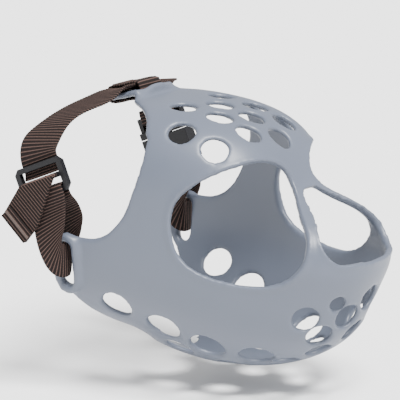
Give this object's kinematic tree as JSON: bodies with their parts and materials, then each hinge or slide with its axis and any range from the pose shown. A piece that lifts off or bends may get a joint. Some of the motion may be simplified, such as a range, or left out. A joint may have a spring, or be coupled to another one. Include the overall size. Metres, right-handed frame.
{
  "type": "basket muzzle",
  "caption": "Full-face moulded silicone basket muzzle for a short-nosed dog, with eye, nose and breathing openings and a ribbed crown strap with ladder lock and side-release buckle.",
  "frame": {"origin": "middle of the dog's head inside the muzzle, the head_seat mount", "axes": "nose towards -Y, the dog's left towards +X, up +Z"},
  "size_m": [0.1432, 0.178, 0.1398],
  "materials": {
    "shell_silicone": "satin, smooth moulded silicone, blue-grey",
    "webbing": "dark brown woven webbing with lighter cross ribs",
    "black_plastic": "fine satin moulded plastic",
    "thread": "sewing thread"
  },
  "bodies": {
    "muzzle": {"muzzle_shell": "shell_silicone", "crown_strap": "webbing", "crown_keeper": "webbing", "keeper_stitching": "thread", "ladder_lock": "black_plastic", "right_loop_outer": "webbing", "right_loop_inner": "webbing", "left_loop_outer": "webbing", "left_loop_inner": "webbing", "buckle_socket": "black_plastic"},
    "buckle_male": {"buckle_base": "black_plastic", "left_strap": "webbing"},
    "prong_front": {"prong_front": "black_plastic"},
    "prong_rear": {"prong_rear": "black_plastic"},
    "tail": {"strap_tail": "webbing", "tail_hem": "webbing", "hem_stitching": "thread"}
  },
  "joints": [
    {"name": "buckle_release", "type": "slide", "parent": "muzzle", "child": "buckle_male", "axis": [0, 0.3746, 0.9272], "range_m": [0, 0.013], "deforming": ["left_strap"]},
    {"name": "prong_front_squeeze", "type": "hinge", "parent": "buckle_male", "child": "prong_front", "pos_m": [0.064, 0.06429, 0.03279], "axis": [1, 0, 0], "range_deg": [0, 20]},
    {"name": "prong_rear_squeeze", "type": "hinge", "parent": "buckle_male", "child": "prong_rear", "pos_m": [0.064, 0.08051, 0.02624], "axis": [1, 0, 0], "range_deg": [-20, 0]},
    {"name": "tail_swing", "type": "hinge", "parent": "muzzle", "child": "tail", "pos_m": [-0.066, 0.064, 0.03], "axis": [0, 0.9272, -0.3746], "range_deg": [0, 40]}
  ],
  "couplings": [
    {"joint": "prong_front_squeeze", "follows": "buckle_release", "rad_per_m": 25},
    {"joint": "prong_rear_squeeze", "follows": "buckle_release", "rad_per_m": -25}
  ]
}
